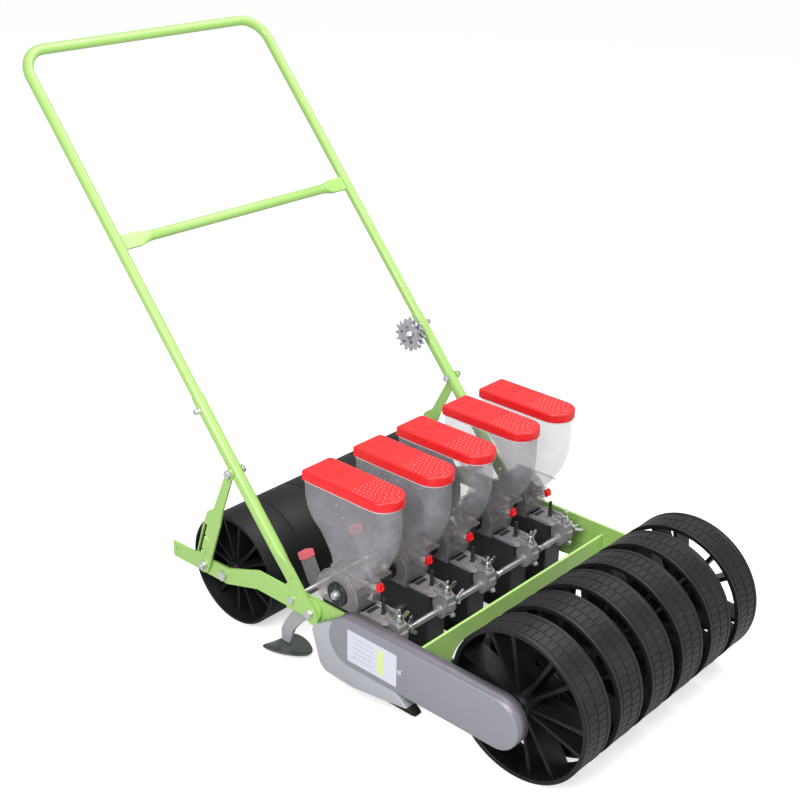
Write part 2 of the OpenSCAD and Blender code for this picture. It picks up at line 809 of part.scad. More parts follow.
// Brace bolts through the tubes and the set screws of the telescoping joint
module handle_bolts() {
    bolt_in = tube_x - lower_r - 6;
    head_in = brace_out + brace_t + 0.6;
    color(steel) on_handle() for (side = [-1, 1]) {
        translate([side < 0 ? -outer_x + 1 : bolt_in, 0, brace_bolt_at]) rotate([0, 90, 0])
            cylinder(r = bolt_r, h = outer_x - 1 - bolt_in);
        translate([side < 0 ? -outer_x : head_in, 0, brace_bolt_at]) rotate([0, 90, 0])
            cylinder(r = bolt_head_r, h = outer_x - head_in, $fn = 6);
        translate([side < 0 ? -tube_x + lower_r : bolt_in, 0, brace_bolt_at]) rotate([0, 90, 0])
            cylinder(r = bolt_head_r, h = 6, $fn = 6);
        translate([side * tube_x, 0, joint_at - 25]) rotate([0, side * 90, 0]) {
            translate([0, 0, upper_r + 0.4]) cylinder(r = 3, h = 11);
            translate([0, 0, lower_r]) cylinder(r = 5.5, h = 4, $fn = 6);
            translate([0, 0, lower_r + 6]) cylinder(r = 5.5, h = 4, $fn = 6);
        }
    }
}

// Spare sprockets kept on a stud inside the right tube
module spare_sprocket() {
    teeth = 14;
    in_x = 226;
    stud_end = tube_x - lower_r;
    color(steel) on_handle() {
        translate([in_x - 4, 0, spare_at]) rotate([0, 90, 0]) cylinder(r = 5, h = stud_end - in_x + 4);
        translate([in_x - 2, 0, spare_at]) rotate([0, 90, 0]) cylinder(r = 9, h = 6, $fn = 6);
        for (x = [in_x + 4, in_x + 16]) {
            translate([x, 0, spare_at]) rotate([0, 90, 0]) linear_extrude(6) difference() {
                sprocket_outline(teeth);
                for (i = [0 : 4]) rotate(i * 72) translate([15, 0]) circle(4);
            }
        }
        translate([in_x + 4, 0, spare_at]) rotate([0, 90, 0]) cylinder(r = 12, h = stud_end - in_x - 12);
    }
}

// Quarter bend of a tube in the handle's plane
module grip_bend(side, r) {
    translate([side * (tube_x - bend_r), 0, handle_len - bend_r]) rotate([90, 0, 0])
        rotate([0, 0, side > 0 ? 0 : 90]) rotate_extrude(angle = 90) translate([bend_r, 0]) circle(r);
}

module grip_path(r, low) {
    for (side = [-1, 1]) {
        translate([side * tube_x, 0, low]) cylinder(r = r, h = handle_len - bend_r - low);
        grip_bend(side, r);
    }
    translate([-tube_x + bend_r, 0, handle_len]) rotate([0, 90, 0]) cylinder(r = r, h = 2 * (tube_x - bend_r));
}

module upper_handle() {
    wall = 1.5;
    color(lime) on_handle() difference() {
        grip_path(upper_r, upper_from);
        grip_path(upper_r - wall, upper_from - 1);
    }
}

// Cross tube of the handle with flattened ends that wrap the uprights
module handle_crossbar() {
    flat_l = 34;
    flat_w = 27;
    flat_t = 7;
    reach = tube_x - upper_r;
    color(lime) on_handle() translate([0, 0, crossbar_at]) {
        translate([-reach + flat_l + 22, 0, 0]) rotate([0, 90, 0])
            cylinder(r = upper_r, h = 2 * (reach - flat_l - 22));
        for (side = [-1, 1]) {
            translate([side * (reach - flat_l / 2) - flat_l / 2, -flat_t / 2, -flat_w / 2])
                cube([flat_l, flat_t, flat_w]);
            hull() {
                translate([side * (reach - flat_l) - 0.5, -flat_t / 2, -flat_w / 2]) cube([1, flat_t, flat_w]);
                translate([side * (reach - flat_l - 22) - 0.5, 0, 0]) rotate([0, 90, 0])
                    cylinder(r = upper_r, h = 1, $fn = 32);
            }
        }
    }
}

// ---- Braces ----

// Drawn along the line from the foot hole to the top hole; +v faces forward.
// A slot runs along the rear edge, with two hooks in which the brace rests when the handle is folded
module brace_outline() {
    foot_half = 18;
    neck = 8;
    hook_r = 3.6;
    difference() {
        union() {
            translate([0, -4]) circle(foot_half);
            polygon([[0, -4 - foot_half], [80, -26], [124, -25], [142, -13], [brace_len, -neck],
                [brace_len, neck], [150, neck], [122, 11], [0, foot_half - 4]]);
            translate([brace_len, 0]) circle(neck);
        }
        circle(brace_hole_r);
        translate([brace_len, 0]) circle(brace_hole_r);
        polygon([[16, -21], [16, -14.5], [95, -16.5], [95, -23]]);
        for (u = [31, 67]) {
            translate([u - 3, -18]) square([6, 15]);
            translate([u, -3.5]) circle(hook_r);
        }
    }
}

module brace(side) {
    color(lime) from_axle() translate([side * brace_in, brace_foot[0], brace_foot[1]])
        rotate([0, side * brace_tilt, 0]) plate_between(0, side * brace_t) rotate(brace_angle) brace_outline();
}

module brace_left() { brace(side_left); }
module brace_right() { brace(side_right); }

// Foot bolts of the braces with a washer on either side
module brace_bolts() {
    arm_face = plate_x + 2 * plate_t;
    plate_face = brace_in + brace_t + 0.6;
    color(steel) from_axle() for (side = [-1, 1]) {
        cross_rod(bolt_r, side * (arm_face + 0.7), side * (plate_face + 7.5), brace_foot);
        cross_rod(7.5, side * (arm_face + 0.7), side * (brace_in - 0.5), brace_foot);
        cross_rod(9, side * plate_face, side * (plate_face + 1.6), brace_foot);
        cross_hex(side * (plate_face + 1.6), side * (plate_face + 6.4), brace_foot);
    }
}

side_plate_left();
side_plate_right();
front_cross_bar();
rear_tie_rod();
clamp_rod();
rear_arm_left();
rear_arm_right();
axle_bushes();
frame_bolts();
chain_cover();
drive_chain();
openers();
rod_clamps();
wing_nuts();
chute_caps();
coverer_bracket();
coverer_blade();
housing_1();
housing_2();
housing_3();
housing_4();
housing_5();
hopper_1();
hopper_2();
hopper_3();
hopper_4();
hopper_5();
front_axle();
front_wheels();
drive_sprocket();
drive_shaft();
shaft_gears();
driven_sprocket();
rear_axle();
rear_drums();
seed_roller_1();
seed_roller_2();
seed_roller_3();
seed_roller_4();
seed_roller_5();
lid_1();
lid_2();
lid_3();
lid_4();
lid_5();
brush_knob_1();
brush_knob_2();
brush_knob_3();
brush_knob_4();
brush_knob_5();
lower_tube_left();
lower_tube_right();
spare_sprocket();
handle_bolts();
upper_handle();
handle_crossbar();
brace_left();
brace_right();
brace_bolts();
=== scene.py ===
"""Looks of the five-row push seeder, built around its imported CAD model."""
import json
import math

import bmesh
import bpy
from mathutils import Matrix, Vector


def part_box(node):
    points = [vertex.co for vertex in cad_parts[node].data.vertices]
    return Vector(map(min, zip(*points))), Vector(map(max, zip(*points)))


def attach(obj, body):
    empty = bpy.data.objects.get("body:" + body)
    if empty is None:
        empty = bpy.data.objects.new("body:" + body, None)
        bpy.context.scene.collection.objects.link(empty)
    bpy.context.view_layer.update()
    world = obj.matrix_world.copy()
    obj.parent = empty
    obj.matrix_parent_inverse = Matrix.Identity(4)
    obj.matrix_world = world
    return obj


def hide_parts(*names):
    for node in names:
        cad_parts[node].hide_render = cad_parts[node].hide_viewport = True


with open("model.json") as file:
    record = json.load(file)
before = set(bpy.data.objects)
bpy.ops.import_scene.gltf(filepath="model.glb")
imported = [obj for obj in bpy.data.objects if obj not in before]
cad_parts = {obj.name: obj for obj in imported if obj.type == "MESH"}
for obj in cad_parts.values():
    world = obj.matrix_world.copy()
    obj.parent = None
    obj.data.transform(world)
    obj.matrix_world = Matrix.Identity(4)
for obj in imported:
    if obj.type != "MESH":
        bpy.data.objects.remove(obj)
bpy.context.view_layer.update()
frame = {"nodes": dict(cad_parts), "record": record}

MM = 0.001
wheels_low, wheels_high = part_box("front_wheels")
FRONT_Y = (wheels_low[1] + wheels_high[1]) / 2


def at(x, y, z):
    """A place in metres from millimetres: x sideways, y behind the front axle, z above the ground."""
    return Vector((x * MM, FRONT_Y + y * MM, z * MM))


# ---- Camera, lights and floor ----

def aim_camera():
    azimuth, elevation, roll = (math.radians(a) for a in (-47.98, 24.41, 0.89))
    flat = math.cos(elevation)
    ahead = Vector((-math.sin(azimuth) * flat, math.cos(azimuth) * flat, -math.sin(elevation)))
    level = Vector((math.cos(azimuth), math.sin(azimuth), 0))
    right = math.cos(roll) * level + math.sin(roll) * level.cross(ahead)
    up = right.cross(ahead)
    data = bpy.data.cameras.new("camera")
    data.lens = 61.9
    data.sensor_width = 36
    camera = bpy.data.objects.new("camera", data)
    turn = Matrix((right, up, -ahead)).transposed().to_4x4()
    camera.matrix_world = Matrix.Translation(at(-1642.0, -1007.7, 1415.4)) @ turn
    bpy.context.scene.collection.objects.link(camera)
    bpy.context.scene.camera = camera


def soft_light(name, place, target, size, power):
    data = bpy.data.lights.new(name, "AREA")
    data.shape = "RECTANGLE"
    data.size, data.size_y = size
    data.energy = power
    lamp = bpy.data.objects.new(name, data)
    lamp.location = place
    lamp.rotation_euler = (Vector(target) - Vector(place)).to_track_quat("-Z", "Y").to_euler()
    bpy.context.scene.collection.objects.link(lamp)


def light_studio():
    world = bpy.data.worlds.new("studio")
    world.use_nodes = True
    back = world.node_tree.nodes["Background"]
    back.inputs["Color"].default_value = (1.0, 1.0, 1.0, 1.0)
    back.inputs["Strength"].default_value = 0.55
    scene = bpy.context.scene
    scene.world = world
    scene.view_settings.view_transform = "Standard"
    soft_light("key", (-2.0, -1.0, 1.9), (0, 0, 0.2), (1.2, 1.2), 62)
    soft_light("top", (0.9, -0.2, 2.6), (0, 0, 0.2), (2.0, 1.6), 48)
    soft_light("fill", (0.9, -2.6, 1.0), (0, -0.2, 0.2), (1.4, 1.0), 13)


def add_floor():
    """A pale floor that looks white and throws only a little light back up."""
    bpy.ops.mesh.primitive_plane_add(size=30)
    floor = bpy.context.object
    floor.name = "floor"
    material = bpy.data.materials.new("floor_white")
    material.use_nodes = True
    nodes, links = material.node_tree.nodes, material.node_tree.links
    seen = nodes["Principled BSDF"]
    seen.inputs["Base Color"].default_value = (0.75, 0.75, 0.75, 1)
    seen.inputs["Roughness"].default_value = 0.9
    seen.inputs["Specular IOR Level"].default_value = 0.0
    seen.inputs["Emission Color"].default_value = (1, 1, 1, 1)
    seen.inputs["Emission Strength"].default_value = 0.56
    dull = nodes.new("ShaderNodeBsdfDiffuse")
    dull.inputs["Color"].default_value = (0.55, 0.55, 0.56, 1)
    path = nodes.new("ShaderNodeLightPath")
    pick = nodes.new("ShaderNodeMixShader")
    links.new(path.outputs["Is Camera Ray"], pick.inputs["Fac"])
    links.new(dull.outputs["BSDF"], pick.inputs[1])
    links.new(seen.outputs["BSDF"], pick.inputs[2])
    links.new(pick.outputs["Shader"], nodes["Material Output"].inputs["Surface"])
    floor.data.materials.append(material)


aim_camera()
light_studio()
add_floor()

# ---- Materials ----

LIME = (0.335, 0.57, 0.145)
STEEL = (0.56, 0.57, 0.60)
BLACK = (0.0048, 0.005, 0.0064)
RED = (0.69, 0.009, 0.012)
COVER_GREY = (0.27, 0.275, 0.31)
CAST = (0.33, 0.32, 0.335)


def surface(name, colour, rough=0.5, metal=0.0, coat=0.0, patch=0.1, patch_size=0.05,
            rough_spread=0.08, bump=0.15, grain=0.0015, depth=0.0004, gloss=0.5, alpha=1.0):
    """Cloudy colour and roughness, and a fine grain in its relief."""
    material = bpy.data.materials.new(name)
    material.use_nodes = True
    tree = material.node_tree
    nodes, links = tree.nodes, tree.links
    shader = nodes["Principled BSDF"]
    shader.inputs["Metallic"].default_value = metal
    shader.inputs["Specular IOR Level"].default_value = gloss
    shader.inputs["Alpha"].default_value = alpha
    shader.inputs["Coat Weight"].default_value = coat
    shader.inputs["Coat Roughness"].default_value = 0.15
    coords = nodes.new("ShaderNodeTexCoord")
    cloud = nodes.new("ShaderNodeTexNoise")
    cloud.inputs["Scale"].default_value = 1 / patch_size
    cloud.inputs["Detail"].default_value = 6
    cloud.inputs["Roughness"].default_value = 0.65
    links.new(coords.outputs["Object"], cloud.inputs["Vector"])
    tint = nodes.new("ShaderNodeMix")
    tint.data_type = "RGBA"
    dark = [c * (1 - patch) for c in colour]
    light = [min(1, c * (1 + patch) + patch * 0.01) for c in colour]
    tint.inputs["A"].default_value = (*dark, 1)
    tint.inputs["B"].default_value = (*light, 1)
    links.new(cloud.outputs["Fac"], tint.inputs["Factor"])
    links.new(tint.outputs["Result"], shader.inputs["Base Color"])
    fine = nodes.new("ShaderNodeTexNoise")
    fine.inputs["Scale"].default_value = 1 / grain
    fine.inputs["Detail"].default_value = 3
    links.new(coords.outputs["Object"], fine.inputs["Vector"])
    roughness = nodes.new("ShaderNodeMapRange")
    roughness.inputs["To Min"].default_value = max(0.02, rough - rough_spread)
    roughness.inputs["To Max"].default_value = min(1.0, rough + rough_spread)
    links.new(cloud.outputs["Fac"], roughness.inputs["Value"])
    links.new(roughness.outputs["Result"], shader.inputs["Roughness"])
    relief = nodes.new("ShaderNodeBump")
    relief.inputs["Strength"].default_value = bump
    relief.inputs["Distance"].default_value = depth
    links.new(fine.outputs["Fac"], relief.inputs["Height"])
    links.new(relief.outputs["Normal"], shader.inputs["Normal"])
    return material


# A lighter copy of the lime paint, used only on the cross bar: painted light on its front face.
lit_bar_paint = surface("lit_bar_paint", (0.46, 0.76, 0.21), rough=0.36, patch=0.05, patch_size=0.1, bump=0.08,
                    grain=0.004)
paint = surface("lime_paint", LIME, rough=0.36, coat=0.25, patch=0.05, patch_size=0.12, bump=0.08,
                grain=0.004)
steel = surface("zinc_steel", STEEL, rough=0.36, metal=0.9, patch=0.18, patch_size=0.012, bump=0.2)
tyre_black = surface("ribbed_black", BLACK, rough=0.44, patch=0.5, patch_size=0.03, bump=0.35, grain=0.002,
                     gloss=0.3)
drum_black = surface("drum_black", BLACK, rough=0.55, patch=0.3, patch_size=0.06, bump=0.2,
                     grain=0.003, gloss=0.3)
shoe_black = surface("opener_black", (0.026, 0.027, 0.029), rough=0.45, patch=0.3, patch_size=0.02)
lid_red = surface("lid_red", RED, rough=0.34, patch=0.04, patch_size=0.05, bump=0.1)
# A lighter, pinker red than the lid, for the moulded studs: painted highlight.
stud_highlight_red = surface("stud_highlight_red", (0.88, 0.14, 0.14), rough=0.2, patch=0.1)
# Dark red for the thin discs set off to one side of each stud: painted shadow.
stud_shadow_red = surface("stud_shadow_red", (0.42, 0.004, 0.007), rough=0.4, patch=0.3, patch_size=0.006)
cap_pink = surface("cap_pink", (0.62, 0.10, 0.13), rough=0.35, patch=0.06)
cover_grey = surface("cover_grey", COVER_GREY, rough=0.38, metal=0.35, patch=0.06, patch_size=0.06, bump=0.12)
cast_grey = surface("cast_grey", CAST, rough=0.5, metal=0.5, patch=0.22, patch_size=0.012, bump=0.5,
                    grain=0.0025)
chain_grey = surface("chain_grey", (0.15, 0.15, 0.16), rough=0.4, metal=0.9, patch=0.3, patch_size=0.01)
gear_white = surface("gear_white", (0.68, 0.66, 0.58), rough=0.45, patch=0.08)
roller_grey = surface("roller_grey", (0.045, 0.046, 0.05), rough=0.4, patch=0.3, patch_size=0.01)
# The strong light and dark cloud in this clear plastic's colour is painted reflections and highlights.
hopper_clear = surface("hopper_clear", (0.37, 0.37, 0.405), rough=0.1, patch=0.75, patch_size=0.03, bump=0.9,
                       grain=0.016, depth=0.003, gloss=1.0, alpha=0.36)
# The light and dark speckle in this clear case's colour is painted highlights and painted shade.
case_clear = surface("case_clear", (0.40, 0.375, 0.385), rough=0.12, patch=0.5, patch_size=0.008, bump=0.8,
                     grain=0.006, depth=0.001, gloss=1.0, alpha=0.24)
# Whitish, nearly opaque plastic. On the hopper rims its whiteness is a painted highlight along the edge under
# the lid.
rim_clear = surface("rim_clear", (0.74, 0.74, 0.78), rough=0.2, patch=0.06, alpha=0.8)
label_white = surface("label_white", (0.60, 0.605, 0.69), rough=0.3, patch=0.03)
label_lime = surface("label_lime", (0.62, 0.72, 0.30), rough=0.3, patch=0.05)
label_grey = surface("label_grey", (0.50, 0.50, 0.58), rough=0.3, patch=0.05)
cap_black = surface("cap_black", (0.012, 0.012, 0.013), rough=0.16, patch=0.3, patch_size=0.01, bump=0.05)
pale_cast = surface("pale_cast", (0.42, 0.42, 0.44), rough=0.5, metal=0.3, patch=0.15, patch_size=0.01,
                    bump=0.4)
brass = surface("brass", (0.62, 0.42, 0.17), rough=0.3, metal=1.0, patch=0.2, patch_size=0.004)
knob_red = surface("knob_red", (0.78, 0.008, 0.014), rough=0.25, patch=0.05, bump=0.05)
deck_grey = surface("deck_grey", (0.28, 0.265, 0.28), rough=0.5, metal=0.2, patch=0.25,
                    patch_size=0.012, bump=0.4)
pin_grey = surface("pin_grey", (0.035, 0.035, 0.037), rough=0.4, metal=0.3, patch=0.3, patch_size=0.006)
bright = surface("bright_zinc", (0.72, 0.72, 0.74), rough=0.24, metal=0.95, patch=0.12, patch_size=0.006)
blade_steel = surface("blade_steel", (0.13, 0.145, 0.14), rough=0.3, metal=0.5, patch=0.6, patch_size=0.025)
# A darker copy of the cover grey for the raised case's side wall: painted shade.
cover_side_shade = surface("cover_side_shade", (0.20, 0.185, 0.22), rough=0.42, metal=0.3, patch=0.12, patch_size=0.03)
blade_dark = surface("blade_dark", (0.018, 0.024, 0.022), rough=0.33, metal=0.4, patch=0.4, patch_size=0.02)
skirt_grey = surface("skirt_grey", (0.44, 0.45, 0.49), rough=0.4, metal=0.2, patch=0.06, patch_size=0.06)

by_slot = {
    "green_paint": paint, "bright_steel": steel, "grey_paint": cover_grey, "black_plastic": shoe_black,
    "red_plastic": lid_red, "pink_plastic": cap_pink, "clear_plastic": case_clear, "cast_metal": cast_grey,
    "chain_steel": chain_grey, "gear_plastic": gear_white, "roller_plastic": roller_grey,
}
slot_of = {part["node"]: part["material_slot"] for part in frame["record"]["subparts"]}
body_of = {node: body for body, nodes in frame["record"]["behaviour"]["bodies"].items() for node in nodes}
for name, slot in slot_of.items():
    node = frame["nodes"][name]
    node.data.materials.clear()
    node.data.materials.append(by_slot[slot])

# ---- Mesh building ----

def turned(y, z, degrees):
    """(y, z) turned about the X axis."""
    a = math.radians(degrees)
    return y * math.cos(a) - z * math.sin(a), y * math.sin(a) + z * math.cos(a)


def arc(centre, radius, start, end, steps):
    """Points on an arc, in degrees, ends included."""
    points = []
    for i in range(steps + 1):
        a = math.radians(start + (end - start) * i / steps)
        points.append((centre[0] + radius * math.cos(a), centre[1] + radius * math.sin(a)))
    return points


def rounded(points, radius, steps=4):
    """An outline with its corners rounded off."""
    outline = []
    for i, corner in enumerate(points):
        corner = Vector(corner)
        back = Vector(points[i - 1]) - corner
        ahead = Vector(points[(i + 1) % len(points)]) - corner
        reach = min(radius, back.length * 0.45, ahead.length * 0.45)
        start = corner + back.normalized() * reach
        end = corner + ahead.normalized() * reach
        for k in range(steps + 1):
            t = k / steps
            outline.append(tuple((1 - t) ** 2 * start + 2 * t * (1 - t) * corner + t ** 2 * end))
    return outline


def shrunk(outline, part):
    """An outline drawn smaller by the given part about its middle."""
    middle = sum((Vector(p) for p in outline), Vector((0, 0))) / len(outline)
    return [tuple(middle + (Vector(p) - middle) * (1 - part)) for p in outline]


class Shape:
    """A mesh under construction. Its numbers are millimetres in the machine's own frame."""

    def __init__(self):
        self.bm = bmesh.new()
        self.place = Matrix.Identity(4)

    def vert(self, x, y, z):
        p = self.place @ Vector((x, y, z))
        return self.bm.verts.new(at(p.x, p.y, p.z))

    def skin(self, rings, cap=True, loop=False):
        """Joins rings of the same number of points. loop joins the last ring to the first."""
        rows = [[self.vert(*p) for p in ring] for ring in rings]
        pairs = list(zip(rows, rows[1:]))
        if loop:
            pairs.append((rows[-1], rows[0]))
        for a, b in pairs:
            for i in range(len(a)):
                j = (i + 1) % len(a)
                self.bm.faces.new((a[i], a[j], b[j], b[i]))
        if cap and not loop:
            self.bm.faces.new(rows[0])
            self.bm.faces.new(rows[-1])

    def face(self, ring):
        self.bm.faces.new([self.vert(*p) for p in ring])

    def prism(self, outline, x0, x1):
        """A side-view outline between two sideways places."""
        self.skin([[(x, y, z) for y, z in outline] for x in (x0, x1)])

    def slab(self, outline, z0, z1):
        """A top-view outline between two heights."""
        self.skin([[(x, y, z) for x, y in outline] for z in (z0, z1)])

    def box(self, x0, x1, y0, y1, z0, z1):
        self.slab([(x0, y0), (x1, y0), (x1, y1), (x0, y1)], z0, z1)

    def spun(self, profile, steps=48, centre=(0, 0), loop=True):
        """A profile of (x, radius) turned about an axis along X through centre."""
        rings = []
        for x, r in profile:
            ring = arc(centre, r, 0, 360 - 360 / steps, steps - 1)
            rings.append([(x, y, z) for y, z in ring])
        self.skin(rings, cap=not loop, loop=loop)

    def rod(self, x0, x1, centre, radius, steps=32, chamfer=0.6):
        """A round bar along X with chamfered ends."""
        c = min(chamfer, radius * 0.4)
        step = c if x1 > x0 else -c
        self.spun([(x0, radius - c), (x0 + step, radius), (x1 - step, radius), (x1, radius - c)],
                  steps, centre, loop=False)

    def finish(self, name, material, body, slot, replaces=(), bevel=0.0, segments=2, smooth=35, solid=0.0):
        """Makes the object, with bevel and wall thickness in millimetres."""
        bmesh.ops.remove_doubles(self.bm, verts=self.bm.verts, dist=1e-6)
        bmesh.ops.recalc_face_normals(self.bm, faces=self.bm.faces)
        mesh = bpy.data.meshes.new(name)
        self.bm.to_mesh(mesh)
        self.bm.free()
        piece = bpy.data.objects.new(name, mesh)
        bpy.context.scene.collection.objects.link(piece)
        mesh.materials.append(material)
        for face in mesh.polygons:
            face.use_smooth = True
        mesh.set_sharp_from_angle(angle=math.radians(smooth))
        if solid:
            wall = piece.modifiers.new("wall", "SOLIDIFY")
            wall.thickness = solid * MM
            wall.offset = -1
            wall.use_even_offset = True
        if bevel:
            edge = piece.modifiers.new("edge", "BEVEL")
            edge.width = bevel * MM
            edge.segments = segments
            edge.limit_method = "ANGLE"
            edge.angle_limit = math.radians(32)
            edge.harden_normals = True
        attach(piece, body)
        if replaces:
            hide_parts(*replaces)
        return piece


def soften(node, material, bevel=0.6, segments=2):
    """A piece with the shape of a CAD node, but with softened edges."""
    shape = Shape()
    shape.bm.from_mesh(frame["nodes"][node].data)
    bmesh.ops.remove_doubles(shape.bm, verts=shape.bm.verts, dist=1e-6)
    bmesh.ops.dissolve_limit(shape.bm, angle_limit=math.radians(0.5), verts=shape.bm.verts,
                             edges=shape.bm.edges)
    shape.finish(f"{node}_soft", material, body_of[node], slot_of[node], replaces=(node,), bevel=bevel,
                 segments=segments)


# ---- Front wheels ----

WHEEL_R = 130.0
WHEEL_PITCH = 87.0
LUGS = 64


def wheel_lugs(shape):
    """Two rows of low tread blocks, set half a step apart."""
    step = 360 / LUGS
    low, high = WHEEL_R - 2.0, WHEEL_R - 0.9
    for row, (x0, x1) in enumerate([(-22.5, -0.6), (0.6, 22.5)]):
        for i in range(LUGS):
            mid = (i + row / 2) * step
            rings = []
            for r, half, inset in ((low, 0.47, 0), (high - 0.4, 0.46, 0.2), (high, 0.42, 0.9)):
                ring = []
                for x, a in ((x0 + inset, mid - half * step), (x1 - inset, mid - half * step),
                             (x1 - inset, mid + half * step), (x0 + inset, mid + half * step)):
                    ring.append((x, *turned(r, 0, a)))
                rings.append(ring)
            shape.skin(rings)


def wheel_spokes(shape, hub_r, rim_r, spread, depth, thick, pairs=6):
    """Pairs of deep flat spokes that leave the hub close together and part towards the rim."""
    for i in range(pairs):
        for lean in (-1, 1):
            rings = []
            for r, wide, half in ((hub_r, depth, thick * 0.55), (rim_r * 0.5, depth * 0.92, thick * 0.42),
                                  (rim_r, depth * 0.86, thick * 0.62)):
                away = spread * (r - hub_r) / (rim_r - hub_r)
                mid = lean * (4.0 + away * rim_r * math.pi / 180)
                ring = []
                for x, side in ((-wide / 2, -half), (wide / 2, -half), (wide / 2, half), (-wide / 2, half)):
                    ring.append((x, *turned(r, mid + side, i * 60)))
                rings.append(ring)
            shape.skin(rings)


def add_front_wheels():
    rim = [(-31, 122.6), (-31, 128.8), (-30.2, 129.6), (-24.6, 129.6), (-23.6, 128.1), (23.6, 128.1),
           (24.6, 129.6), (30.2, 129.6), (31, 128.8), (31, 122.6), (30.0, 121.8), (27, 122.2),
           (25.5, 124.2), (-25.5, 124.2), (-27, 122.2), (-30.0, 121.8)]
    hub = [(-31, 11), (-31, 17), (-29.5, 18.5), (-20, 22), (20, 22), (29.5, 18.5), (31, 17), (31, 11)]
    spacer = [(31, 11), (31, 15), (31.5, 15.5), (55.5, 15.5), (56, 15), (56, 11)]
    for i in range(6):
        shape = Shape()
        centre = Matrix.Translation(((i - 2.5) * WHEEL_PITCH, 0, WHEEL_R))
        shape.place = centre @ Matrix.Rotation(math.radians(i * 13 + 8), 4, "X")
        shape.spun(rim, steps=150)
        shape.spun(hub, steps=48)
        if i < 5:
            shape.spun(spacer, steps=32)
        wheel_lugs(shape)
        wheel_spokes(shape, 19, 125, 9, 46, 6.5)
        shape.finish(f"front_wheel_{i + 1}", tyre_black, "front_roller", "black_plastic",
                     replaces=("front_wheels",), smooth=30)


# ---- Rear drums ----

DRUM_R = 105.0
DRUM_PITCH = 86.0
REAR_Y = 640.0


def add_rear_drums():
    half = DRUM_PITCH / 2 - 0.15
    shell = [(-half, 100.5), (-half, 103.4), (-half + 0.8, 104.6), (-half + 2, 105), (half - 2, 105),
             (half - 0.8, 104.6), (half, 103.4), (half, 100.5), (half - 1.2, 99.6), (half - 6, 99.6),
             (half - 10, 97.5), (-half + 10, 97.5), (-half + 6, 99.6), (-half + 1.2, 99.6)]
    hub = [(-half, 9), (-half, 15), (-half + 2, 17), (-20, 20),
           (20, 20), (half - 2, 17), (half, 15), (half, 9)]
    for i in range(6):
        shape = Shape()
        centre = Matrix.Translation(((i - 2.5) * DRUM_PITCH, REAR_Y, DRUM_R))
        shape.place = centre @ Matrix.Rotation(math.radians(i * 21 + 20), 4, "X")
        shape.spun(shell, steps=120)
        shape.spun(hub, steps=40)
        wheel_spokes(shape, 17, 99, 10.5, 62, 5)
        shape.finish(f"rear_drum_{i + 1}", drum_black, "rear_roller", "black_plastic",
                     replaces=("rear_drums",), smooth=30)


add_front_wheels()
add_rear_drums()

# ---- Seed units ----

UNITS = (-238, -118, -10, 112, 216)
LID_TOP = 386.0
LID_LOW = 370.0
LID_HALF = 35.0
LID_FRONT = 254.0
LID_REAR = 442.0
ROLLER_Y = 364.6
ROLLER_Z = 180.0


def lid_outline(u, grow=0.0):
    """Top view of a lid: round front and a square rear with clipped corners."""
    half = LID_HALF + grow
    clip = 4
    front = arc((u, LID_FRONT + LID_HALF), half, 180, 360, 28)
    rear = LID_REAR + grow
    return front + [(u + half, rear - clip), (u + half - clip, rear),
                    (u - half + clip, rear), (u - half, rear - clip)]


def dome(shape, x, y, z, radius, height, sides=10):
    """A low round stud on a flat top."""
    rings = []
    for r, h in ((1.0, -0.3), (0.92, 0.35), (0.66, 0.75), (0.3, 0.97)):
        rings.append([(x + dx * radius, y + dy * radius, z + h * height)
                      for dx, dy in arc((0, 0), r, 0, 360 - 360 / sides, sides - 1)])
    shape.skin(rings)


def raised_frame(shape, x0, x1, y0, y1, z, width=1.6, height=0.35):
    inner0, inner1 = y0 + width, y1 - width
    for a0, a1, b0, b1 in ((x0, x1, y0, inner0), (x0, x1, inner1, y1),
                           (x0, x0 + width, inner0, inner1), (x1 - width, x1, inner0, inner1)):
        shape.box(a0, a1, b0, b1, z - 0.3, z + height)


